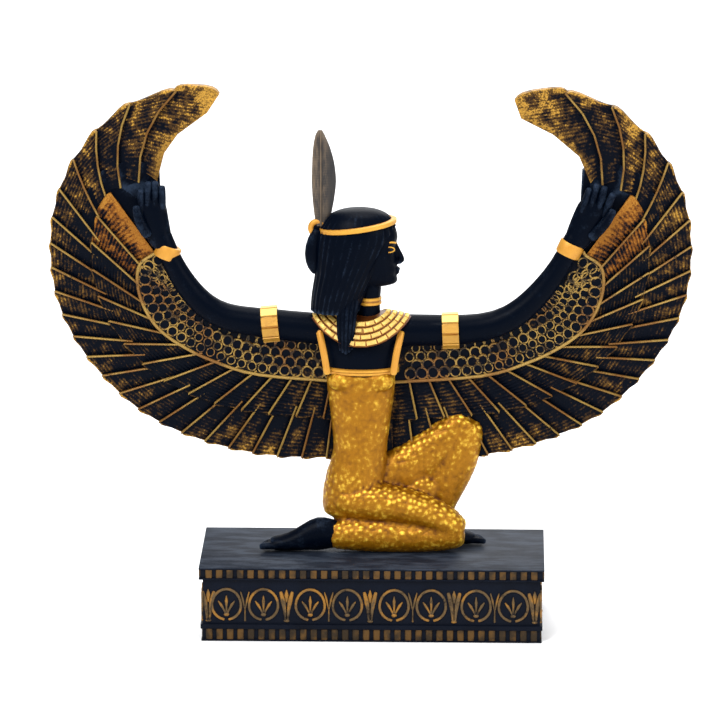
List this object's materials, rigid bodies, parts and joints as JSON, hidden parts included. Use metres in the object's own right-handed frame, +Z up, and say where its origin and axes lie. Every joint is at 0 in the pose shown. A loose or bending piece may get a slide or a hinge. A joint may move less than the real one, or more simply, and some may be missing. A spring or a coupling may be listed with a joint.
{
  "type": "winged goddess figurine",
  "caption": "Cast figurine of a kneeling winged goddess with a tall feather on the head, arms spread along upcurved wings, on an oblong carved plinth.",
  "frame": {"origin": "on the plinth's underside, under the middle of the wing span; the plinth's own middle lies 1 mm towards +X", "axes": "+Z up, +X to the viewer's right along the wings, the front of the torso faces -Y"},
  "size_m": [0.2, 0.047, 0.1703],
  "materials": {
    "plinth": "black cold-cast resin with bronze-gold rubbed over the carving, satin",
    "figure": "black cold-cast resin, the dress, jewellery and feather edges in gold paint, satin"
  },
  "bodies": {
    "root": {"plinth": "plinth", "figure": "figure"}
  },
  "joints": []
}
